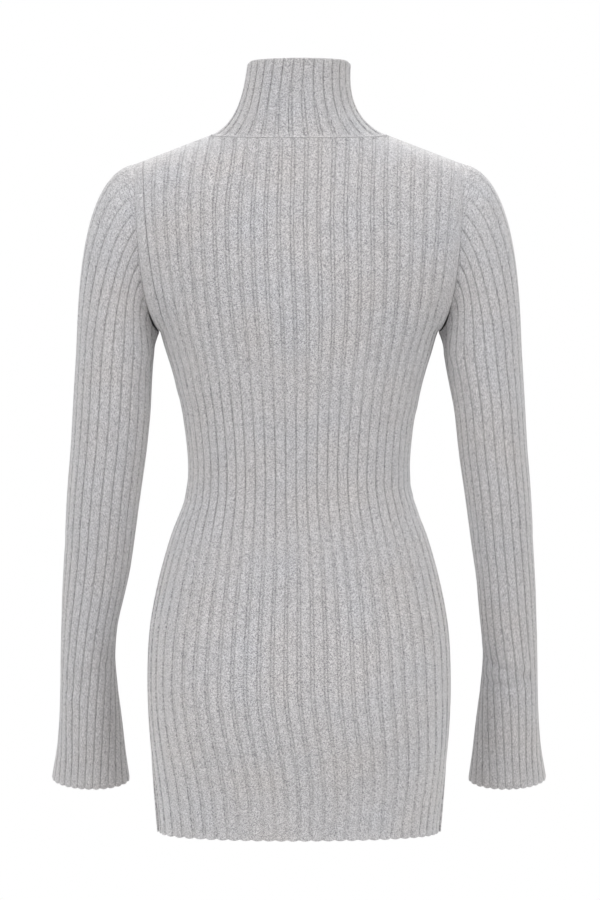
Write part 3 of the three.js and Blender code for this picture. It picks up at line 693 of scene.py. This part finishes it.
def build_sleeve(name, hand):
    """Face, creases, underarm fold, ribs and edges in that order, made for the left hand and mirrored for
    the right one. The knit is slack all the way down, so every groove is a V."""
    rib = rib_columns(0, SLEEVE_RIBS)
    turn, height = rib / SLEEVE_RIBS, SLEEVE_HEIGHTS[:, None]
    face = sleeve(turn, SLEEVE_HEIGHTS, SLEEVE_LIE[hand])
    girth = 2 * np.pi * read(SLEEVE, "half_width", np.minimum(face[..., 2], ARM))
    across = (turn - 0.25)[None] * girth
    face = pressed(face, outward(face, True, -1), across, SLEEVE_CREASES[hand], girth)
    out = outward(face, True, -1)
    on_shoulder = (1 - smooth(height, 0, 0.6)) * np.maximum(np.cos(2 * np.pi * turn), 0)[None] ** 2
    at_seam = 1 - smooth(height * CAP_LENGTH, 0, SEAM_ROLL)
    calm = (1 - SHOULDER_CALM * on_shoulder) * (1 - at_seam)
    under = 1 - smooth(np.abs(turn - UNDERARM_TURN)[None], *FOLD_TURNS)
    fold = (1 - smooth(height * CAP_LENGTH, 0, FOLD_ROLL)) * under
    face = face - out * (FOLD_SINK * fold)[..., None]
    above_cuff = face[..., 2] - CUFF
    ribs = groove(rib[None], 0) * calm * near_edge(above_cuff)
    outer, inner = two_faces(face, out, rib, ribs, calm, at_seam, above_cuff)
    cuff = rolled(outer[-1], inner[-1], unit(face[-1] - face[-2])[None], EDGE_BULGE)
    # Painted groove shadow, a little stronger on the slack sleeve and weaker on the cuff and inner face.
    line = painted_groove_shadow(rib[None], 0) * calm * SLACK_SHADOW
    hidden = [np.repeat(line[-1:], len(cuff), 0), line[::-1]]
    shade = np.concatenate([line, *(WALL_SHADE * part for part in hidden)])
    mirror = np.array([1 if hand == "left" else -1, 1, 1])
    outer, inner, cuff = outer * mirror, inner * mirror, cuff * mirror
    return knit_wall(name, outer, inner, cuff, outer[:0], count_wales(rib, True), True, shade)


sleeve_left = build_sleeve("rib_knit_sleeve_left", "left")
sleeve_right = build_sleeve("rib_knit_sleeve_right", "right")

# %% [markdown]
# The collar's ribs are the firmest, because it is double. They start just above the seam, and at the top
# the cloth folds over a rounded edge that flattens most of their depth but not their painted groove
# shadow.

# %% Build the collar
COLLAR_SHADOW, COLLAR_FOLD_SHADE = 1.4, 0.7
COLLAR_START, COLLAR_FLAT, COLLAR_FLATTENED = 0.06, (0.93, 1), 0.7
COLLAR_HEIGHTS = crowd(0, 1, 44, 0.75, 0.3)


def build_collar(name):
    """Face, ribs and the folded top edge. The ribs grow in above the seam and flatten at the fold."""
    rib, height = rib_columns(0, COLLAR_RIBS), COLLAR_HEIGHTS[:, None]
    face = collar(rib / COLLAR_RIBS, COLLAR_HEIGHTS)
    side = np.where(rib < COLLAR_RIBS / 2, BACK, FRONT)
    at_seam = 1 - smooth(height, 0, 0.04)[..., None]
    out = unit(between(outward(face, True, 1), neck_direction(side, face), at_seam))
    wide = stretch(face, rib)
    grown = smooth(height, 0, COLLAR_START)
    calm = grown * (1 - COLLAR_FLATTENED * smooth(height, *COLLAR_FLAT))
    ribs = groove(rib[None], wide) * calm
    sunk = COLLAR_RIB_DEPTH * ribs + CREST_DOME * dome(rib)[None] * calm
    outer = face - out * sunk[..., None]
    inner = face - out * COLLAR_WALL
    top = rolled(outer[-1], inner[-1], np.array([0, 0, 1.0]), COLLAR_EDGE_RADIUS, 5)
    # Painted groove shadow, strong on the firm collar, weaker over the fold and half on the inner face.
    line = painted_groove_shadow(rib[None], wide) * grown * COLLAR_SHADOW
    over = np.repeat(line[-1:], len(top), 0) * COLLAR_FOLD_SHADE
    shade = np.concatenate([line, over, line[::-1] * WALL_SHADE])
    return knit_wall(name, outer, inner, top, outer[:0], count_wales(rib, True), True, shade)


collar_piece = build_collar("rib_knit_collar")

# %% [markdown]
# The collar is joined on with a linking chain: one small loop of yarn through each wale, lying on the
# seam. It covers the step between the two edges, and it is what shows as a fine line round the neck. It is
# a ring of yarn whose thickness swells once a wale.

# %% The linking chain
CHAIN_RADIUS, CHAIN_SWELL, CHAIN_SIDES, CHAIN_STEPS = 0.35, 0.2, 8, 4


def build_chain(name):
    """Round tube along the collar's foot: the foot, plus the radius times the cosine out and the sine up
    the cloth."""
    rib = np.arange(0, COLLAR_RIBS, 1 / (CHAIN_STEPS * WALES_PER_RIB))
    face = collar(rib / COLLAR_RIBS, np.array([0, 0.01]))
    side = np.where(rib < COLLAR_RIBS / 2, BACK, FRONT)
    out, up = neck_direction(side, face)[0], unit(face[1] - face[0])
    swell = CHAIN_RADIUS + CHAIN_SWELL * np.abs(np.sin(np.pi * rib * WALES_PER_RIB))
    angle = np.linspace(0, 2 * np.pi, CHAIN_SIDES + 1)[:-1, None, None]
    points = face[0] + swell[:, None] * (out * np.cos(angle) + up * np.sin(angle))
    turns, count = points.shape[:2]
    quads = grid_quads(turns, count, count)[0][:, ::-1]
    wale = (rib * WALES_PER_RIB)[quads % count]
    uv = np.stack([wale, (quads // count) * 0.25], -1).reshape(-1, 2)
    print(name, "triangles:", 2 * len(quads))
    return as_object(name, points.reshape(-1, 3), quads.tolist(), uv, {"groove": np.zeros(turns * count)})


neck_chain = build_chain("neck_linking_chain")

# %% [markdown]
# The yarn is heather grey: light fibres with a few dark ones twisted in, so every small tuft has its own
# tone. Knit cloth is matt and a little furry, and the fuzz catches light along the edges of a form, which
# sheen gives. The stitches are a bump on the UV map, and the colour has painted shade between their legs
# and painted light on them: two legs to a wale, slanting together into a V for each course. Real wales
# and courses are finer. These are drawn coarser, so that they show. The grooves get a painted shadow too.

# %% Colours and a node helper
def linear(code):
    """sRGB hex to linear: a channel under 0.04045 is divided by 12.92, else it goes through the 2.4 power
    curve."""
    channel = np.array([int(code[i:i + 2], 16) for i in (1, 3, 5)]) / 255
    value = np.where(channel <= 0.04045, channel / 12.92, ((channel + 0.055) / 1.055) ** 2.4)
    return (*value.tolist(), 1.0)


def add(tree, kind, inputs=None, **settings):
    """Adds one node: settings are its own properties, and an input is a value or another node's output."""
    node = tree.nodes.new(kind)
    for name, value in settings.items():
        setattr(node, name, value)
    for name, value in (inputs or {}).items():
        if isinstance(value, bpy.types.NodeSocket):
            tree.links.new(value, node.inputs[name])
        else:
            node.inputs[name].default_value = value
    return node


def calculate(tree, operation, *values):
    """One Math node, and its output."""
    return add(tree, "ShaderNodeMath", dict(enumerate(values)), operation=operation).outputs[0]


def multiplied(tree, colour, by):
    """A colour times another colour or a number."""
    return add(tree, "ShaderNodeMix", {"Factor": 1.0, 6: colour, 7: by},
               data_type="RGBA", blend_type="MULTIPLY").outputs[2]


print("middle grey, linear:", [round(value, 3) for value in linear("#808080")])

# %% Heather rib knit
YARN_LIGHT, YARN_MID, YARN_DARK = "#ECEBEB", "#CBCACA", "#868589"
LIGHT_AT, MID_AT, DARK_AT = 0.84, 0.5, 0.18
WARM_TINT, COOL_TINT, TINT_SCALE = "#F9F4F1", "#F0F3F9", 14
TUFTS_PER_WALE, TUFTS_PER_COURSE, TUFT_CONTRAST = 3, 2.5, 0.62
FIBRE_SCALE, STREAK_SHAPE, STREAK_CONTRAST = 3.0, (1, 0.12, 1), 0.08
LEG_SKEW, LOOP_DEPTH = -1.8, 0.3
# Painted shade between the stitch legs, painted light on them, and painted shadow in the grooves.
GAP_SHADE, LEG_LIGHT, GROOVE_SHADE = 0.86, 0.2, -0.28
FUZZ_SCALE, FUZZ_HEIGHT, BUMP_DISTANCE, BUMP_STRENGTH = 3.1, 0.5, 0.0005, 0.6


def stitch_height(tree, wale, course):
    """Two legs to a wale from an absolute sine, times a cosine wave up the courses. The wave lags with the
    distance from the middle of the wale, so each course is a V."""
    aside = calculate(tree, "ABSOLUTE", calculate(tree, "SUBTRACT", calculate(tree, "FRACT", wale), 0.5))
    wave = calculate(tree, "SINE", calculate(tree, "MULTIPLY", wale, 2 * np.pi))
    legs = calculate(tree, "ABSOLUTE", wave)
    slanted = calculate(tree, "MULTIPLY_ADD", aside, LEG_SKEW, course)
    loops = calculate(tree, "COSINE", calculate(tree, "MULTIPLY", slanted, 2 * np.pi))
    loops = calculate(tree, "MULTIPLY_ADD", loops, LOOP_DEPTH, 1 - LOOP_DEPTH)
    return calculate(tree, "MULTIPLY", legs, loops)


def yarn_colour(tree, uv, wale, course):
    """A random number for each tuft of fibres, plus a soft noise, plus a faint streak along the wale, put
    through a ramp from dark to light yarn, and times a slow tint between warm and cool."""
    tuft = add(tree, "ShaderNodeCombineXYZ", {
        "X": calculate(tree, "FLOOR", calculate(tree, "MULTIPLY", wale, TUFTS_PER_WALE)),
        "Y": calculate(tree, "FLOOR", calculate(tree, "MULTIPLY", course, TUFTS_PER_COURSE)),
    }).outputs[0]
    one_tuft = add(tree, "ShaderNodeTexWhiteNoise", {"Vector": tuft}, noise_dimensions="2D")
    fibre = add(tree, "ShaderNodeTexNoise", {
        "Vector": uv, "Scale": FIBRE_SCALE, "Detail": 2, "Roughness": 0.6}).outputs["Fac"]
    stretched = add(tree, "ShaderNodeMapping", {"Vector": uv, "Scale": STREAK_SHAPE}).outputs[0]
    streak = add(tree, "ShaderNodeTexNoise", {"Vector": stretched, "Scale": 1.0, "Detail": 2})
    tone = calculate(tree, "SUBTRACT", one_tuft.outputs["Value"], 0.5)
    tone = calculate(tree, "MULTIPLY_ADD", tone, TUFT_CONTRAST, fibre)
    streak = calculate(tree, "SUBTRACT", streak.outputs["Fac"], 0.5)
    tone = calculate(tree, "MULTIPLY_ADD", streak, STREAK_CONTRAST, tone)
    yarn = add(tree, "ShaderNodeValToRGB", {"Fac": tone})
    stops = yarn.color_ramp.elements
    stops[0].position, stops[0].color = DARK_AT, linear(YARN_DARK)
    stops[1].position, stops[1].color = MID_AT, linear(YARN_MID)
    stops.new(LIGHT_AT).color = linear(YARN_LIGHT)
    where = add(tree, "ShaderNodeTexCoord").outputs["Object"]
    cloud = add(tree, "ShaderNodeTexNoise", {"Vector": where, "Scale": TINT_SCALE, "Detail": 2})
    tint = add(tree, "ShaderNodeMix", {
        "Factor": cloud.outputs["Fac"], 6: linear(WARM_TINT), 7: linear(COOL_TINT)}, data_type="RGBA")
    return multiplied(tree, yarn.outputs["Color"], tint.outputs[2])


def heather_knit(name):
    """The yarn's colour times a painted shade: darker between the legs and in the grooves, lighter on the
    legs. The bump is the same legs, with fuzz on them, and the sheen is the fuzz seen from the side."""
    material = bpy.data.materials.new(name)
    material.use_nodes = True
    tree = material.node_tree
    shader = tree.nodes["Principled BSDF"]
    uv = add(tree, "ShaderNodeUVMap", uv_map="knit").outputs["UV"]
    place = add(tree, "ShaderNodeSeparateXYZ", {"Vector": uv})
    wale, course = place.outputs["X"], place.outputs["Y"]
    stitch = stitch_height(tree, wale, course)
    # The groove attribute is painted shadow: it darkens the colour in the grooves.
    sunk = add(tree, "ShaderNodeAttribute", attribute_name="groove").outputs["Fac"]
    shade = calculate(tree, "MULTIPLY_ADD", sunk, GROOVE_SHADE, GAP_SHADE)
    shade = calculate(tree, "MULTIPLY_ADD", stitch, LEG_LIGHT, shade)
    colour = multiplied(tree, yarn_colour(tree, uv, wale, course), shade)
    tree.links.new(colour, shader.inputs["Base Color"])
    fuzz = add(tree, "ShaderNodeTexNoise", {"Vector": uv, "Scale": FUZZ_SCALE, "Detail": 2})
    height = calculate(tree, "MULTIPLY_ADD", fuzz.outputs["Fac"], FUZZ_HEIGHT, stitch)
    bump = add(tree, "ShaderNodeBump", {
        "Height": height, "Distance": BUMP_DISTANCE, "Strength": BUMP_STRENGTH})
    tree.links.new(bump.outputs["Normal"], shader.inputs["Normal"])
    # Cotton knit: rough, hardly any gloss, and a wide soft sheen.
    finish = {"Roughness": 0.9, "IOR": 1.5, "Specular IOR Level": 0.2, "Sheen Weight": 0.8,
              "Sheen Roughness": 0.5}
    for socket, value in finish.items():
        shader.inputs[socket].default_value = value
    return material


knit = heather_knit("heather_grey_rib_knit_cotton")
print("wale", WALE, "mm, course", COURSE, "mm")

# %% [markdown]
# Every piece goes with the one body, stands for its own solid and takes the same finish. The flat size is
# what the knitter makes before linking, and the area is less than its rectangle because each piece is
# shaped. The chain is sewing, so it stands for no solid.

# %% Tie the pieces to the frame
CUTS = {
    "back": (back, 0.42, 0.80, 0.30), "front": (front, 0.42, 0.80, 0.29),
    "sleeve_left": (sleeve_left, 0.34, 0.62, 0.155), "sleeve_right": (sleeve_right, 0.34, 0.62, 0.155),
    "collar": (collar_piece, 0.52, 0.18, 0.045),
}
for node, (piece, width, length, area) in CUTS.items():
    piece.data.materials.append(knit)
    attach(piece, "root")
    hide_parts(node)
neck_chain.data.materials.append(knit)
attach(neck_chain, "root")
print("pieces tied:", len(CUTS) + 1)

# %% [markdown]
# A plain pale floor stands well below the hem, because the dress is held up by its wearer. It fades out at
# its rim, so no view shows an edge.

# %% Floor
FLOOR_Z, FLOOR_RADIUS, FLOOR_FADE, FLOOR_CORNERS = -1.42, 2.4, 0.9, 96
FLOOR_PAINT = "#F2F1EF"


def build_floor():
    """A flat disc whose paint turns clear, by a smooth step, from the fade radius out to the rim."""
    turn = np.linspace(0, 2 * np.pi, FLOOR_CORNERS + 1)[:-1]
    level = np.full(FLOOR_CORNERS, FLOOR_Z)
    rim = np.stack([np.cos(turn) * FLOOR_RADIUS, np.sin(turn) * FLOOR_RADIUS, level], -1)
    mesh = bpy.data.meshes.new("studio_floor")
    mesh.from_pydata(rim.tolist(), [], [list(range(FLOOR_CORNERS))])
    floor = bpy.data.objects.new("studio_floor", mesh)
    bpy.context.collection.objects.link(floor)
    material = bpy.data.materials.new("matt_white_floor_paint")
    material.use_nodes = True
    tree = material.node_tree
    shader = tree.nodes["Principled BSDF"]
    shader.inputs["Base Color"].default_value = linear(FLOOR_PAINT)
    shader.inputs["Roughness"].default_value = 0.9
    where = add(tree, "ShaderNodeTexCoord").outputs["Object"]
    flat = add(tree, "ShaderNodeMapping", {"Vector": where, "Scale": (1, 1, 0)}).outputs[0]
    reach = add(tree, "ShaderNodeVectorMath", {0: flat}, operation="LENGTH").outputs["Value"]
    fade = add(tree, "ShaderNodeMapRange", {
        "Value": reach, "From Min": FLOOR_FADE, "From Max": FLOOR_RADIUS, "To Min": 1.0, "To Max": 0.0,
    }, interpolation_type="SMOOTHSTEP")
    tree.links.new(fade.outputs[0], shader.inputs["Alpha"])
    mesh.materials.append(material)
    print("floor at", FLOOR_Z, "m")


build_floor()

# %% [markdown]
# The light is soft: a surround that is brighter above than below, one wide lamp high up behind the dress,
# one on each side of that, and one for the front, which the photo doesn't show. The two side lamps stand
# about halfway round to the camera, so that they also reach the sleeves' inner sides.

# %% Light
SKY_BELOW, SKY_ABOVE = 0.14, 0.86
LAMP_AIM = (0, 0, -0.35)
LAMPS = {
    "key_softbox": ((0.1, 2.1, 2.8), 2.2, 35), "left_softbox": ((2.6, 2.1, 0.9), 1.6, 38),
    "right_softbox": ((-2.6, 2.1, 0.9), 1.6, 36), "front_softbox": ((-0.4, -2.6, 2.4), 2.2, 70),
}


def aimed(thing, place, aim):
    """Puts a lamp or camera at a place and turns its minus Z towards the aim."""
    thing.location = place
    thing.rotation_euler = (Vector(aim) - Vector(place)).to_track_quat("-Z", "Y").to_euler()
    bpy.context.collection.objects.link(thing)


def build_world():
    """White to the camera. To the cloth it is a sky from SKY_ABOVE overhead to SKY_BELOW underfoot."""
    world = bpy.data.worlds.new("white_surround")
    bpy.context.scene.world = world
    world.use_nodes = True
    tree = world.node_tree
    background = tree.nodes["Background"]
    seen = add(tree, "ShaderNodeLightPath").outputs["Is Camera Ray"]
    background.inputs["Color"].default_value = (1, 1, 1, 1)
    direction = add(tree, "ShaderNodeTexCoord").outputs["Generated"]
    height = add(tree, "ShaderNodeSeparateXYZ", {"Vector": direction}).outputs["Z"]
    sky = add(tree, "ShaderNodeMapRange", {
        "Value": height, "From Min": -1.0, "From Max": 1.0, "To Min": SKY_BELOW, "To Max": SKY_ABOVE})
    strength = add(tree, "ShaderNodeMix", {"Factor": seen, "A": sky.outputs[0], "B": 1.0})
    tree.links.new(strength.outputs[0], background.inputs["Strength"])


build_world()
for name, (place, size, power) in LAMPS.items():
    lamp = bpy.data.objects.new(name, bpy.data.lights.new(name, "AREA"))
    lamp.data.size, lamp.data.energy = size, power
    aimed(lamp, place, LAMP_AIM)
print("lamps:", len(LAMPS))

# %% [markdown]
# The camera looks at the back of the dress from just above its middle, far off with a long lens, so that
# the form is hardly foreshortened.

# %% Camera
CAMERA_PLACE, CAMERA_AIM = (-0.0011, 3.84, -0.241), (-0.0011, 0.0, -0.3464)
LENS = 139.64
camera = bpy.data.objects.new("camera", bpy.data.cameras.new("camera"))
camera.data.lens = LENS
aimed(camera, CAMERA_PLACE, CAMERA_AIM)
bpy.context.scene.camera = camera
bpy.context.scene.view_settings.view_transform = "Standard"
print("camera", round(CAMERA_PLACE[1], 2), "m behind the dress")
